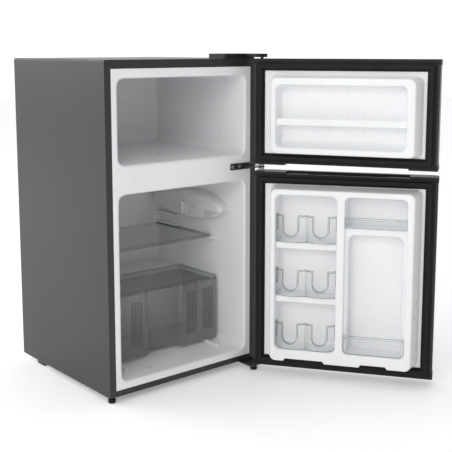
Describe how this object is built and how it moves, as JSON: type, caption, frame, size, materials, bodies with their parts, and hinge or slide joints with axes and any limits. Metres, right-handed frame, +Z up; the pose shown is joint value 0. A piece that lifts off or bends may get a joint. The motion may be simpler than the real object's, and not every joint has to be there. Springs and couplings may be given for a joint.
{
  "type": "two-door mini fridge",
  "caption": "Free-standing two-door mini fridge with a freezer compartment, hinged doors with racks, glass shelves, a crisper drawer and its cooling unit.",
  "frame": {"origin": "on the floor, under the centre of the steel cabinet's footprint without the doors", "axes": "+Z up, -Y is the front that the doors close, +X is the hinge side"},
  "size_m": [0.7301, 0.893, 0.8485],
  "materials": {
    "cabinet_paint": "satin dark grey-black enamel",
    "door_paint": "satin black enamel",
    "rear_sheet": "satin dark grey",
    "black_steel": "black enamel",
    "zinc_steel": "zinc plated",
    "hinge_steel": "dark plated, glossy",
    "screw_steel": "zinc plated",
    "compressor_paint": "black enamel, gloss",
    "liner_plastic": "white thermoformed plastic, satin gloss",
    "box_plastic": "white moulded plastic, satin",
    "black_plastic": "fine texture",
    "grey_plastic": "matt",
    "clear_plastic": "clear",
    "smoky_plastic": "smoky clear",
    "glass": "tempered glass, polished edges",
    "lamp_glass": "frosted",
    "nylon": "natural nylon",
    "rubber": "matt",
    "gasket_rubber": "soft satin vinyl",
    "aluminium": "roll bonded sheet",
    "copper": "copper tube",
    "foam": "rigid polyurethane foam"
  },
  "bodies": {
    "cabinet": {"base_plate": "black_steel", "bottom_hinge": "hinge_steel", "cabinet_foam": "foam", "cabinet_wrap": "cabinet_paint", "compressor": "compressor_paint", "compressor_base": "zinc_steel", "compressor_bay_plate": "zinc_steel", "compressor_grommets": "rubber", "condenser_coil": "black_steel", "control_box": "box_plastic", "control_box_screw": "screw_steel", "drain_tube": "rubber", "drip_tray": "grey_plastic", "evaporator_plate": "aluminium", "filter_drier": "copper", "hinge_screws": "screw_steel", "hinge_washers": "nylon", "inner_liner": "liner_plastic", "lamp_bulb": "lamp_glass", "lamp_lens": "clear_plastic", "mains_gland": "black_plastic", "middle_hinge": "hinge_steel", "mullion_plugs": "liner_plastic", "rear_feet": "black_plastic", "rear_panel": "rear_sheet", "refrigerant_pipes": "copper", "relay_cover": "black_plastic", "thermostat": "black_plastic", "top_hinge": "hinge_steel", "top_hinge_cover": "black_plastic"},
    "freezer_door": {"freezer_door_bottom_cap": "black_plastic", "freezer_door_bushes": "nylon", "freezer_door_foam": "foam", "freezer_door_gasket": "gasket_rubber", "freezer_door_liner": "liner_plastic", "freezer_door_rail": "liner_plastic", "freezer_door_skin": "door_paint", "freezer_door_top_cap": "black_plastic"},
    "fridge_door": {"fridge_door_bottle_rail": "clear_plastic", "fridge_door_bottom_cap": "black_plastic", "fridge_door_bushes": "nylon", "fridge_door_can_rack_a": "clear_plastic", "fridge_door_can_rack_b": "clear_plastic", "fridge_door_can_rack_c": "clear_plastic", "fridge_door_dairy_rail": "clear_plastic", "fridge_door_foam": "foam", "fridge_door_gasket": "gasket_rubber", "fridge_door_liner": "liner_plastic", "fridge_door_skin": "door_paint", "fridge_door_top_cap": "black_plastic"},
    "crisper_drawer": {"crisper_drawer": "smoky_plastic"},
    "glass_shelf": {"glass_shelf": "glass", "glass_shelf_trim": "clear_plastic"},
    "crisper_cover": {"crisper_cover": "glass"},
    "thermostat_knob": {"thermostat_knob": "box_plastic"},
    "door_switch": {"door_switch": "nylon"},
    "front_left_foot": {"front_left_foot": "black_plastic"},
    "front_right_foot": {"front_right_foot": "black_plastic"}
  },
  "joints": [
    {"name": "freezer_door_hinge", "type": "hinge", "parent": "cabinet", "child": "freezer_door", "pos_m": [0.222, -0.263, 0.7], "axis": [0, 0, 1], "range_deg": [-121, 14]},
    {"name": "fridge_door_hinge", "type": "hinge", "parent": "cabinet", "child": "fridge_door", "pos_m": [0.222, -0.263, 0.3], "axis": [0, 0, 1], "range_deg": [-125, 10]},
    {"name": "crisper_drawer_slide", "type": "slide", "parent": "cabinet", "child": "crisper_drawer", "axis": [0, -1, 0], "range_m": [0, 0.145]},
    {"name": "glass_shelf_slide", "type": "slide", "parent": "cabinet", "child": "glass_shelf", "axis": [0, -1, 0], "range_m": [0, 0.15]},
    {"name": "crisper_cover_slide", "type": "slide", "parent": "cabinet", "child": "crisper_cover", "axis": [0, -1, 0], "range_m": [0, 0.1]},
    {"name": "thermostat_knob_turn", "type": "hinge", "parent": "cabinet", "child": "thermostat_knob", "pos_m": [0.163, 0, 0.415], "axis": [-1, 0, 0], "range_deg": [-150, 150]},
    {"name": "door_switch_press", "type": "slide", "parent": "cabinet", "child": "door_switch", "axis": [0, 1, 0], "range_m": [0, 0.004], "stiffness_N_per_m": 150},
    {"name": "front_left_foot_turn", "type": "hinge", "parent": "cabinet", "child": "front_left_foot", "pos_m": [-0.222, -0.21, 0.01], "axis": [0, 0, 1], "range_deg": [-360, 360]},
    {"name": "front_right_foot_turn", "type": "hinge", "parent": "cabinet", "child": "front_right_foot", "pos_m": [0.2, -0.26, 0.01], "axis": [0, 0, 1], "range_deg": [-360, 360]}
  ]
}
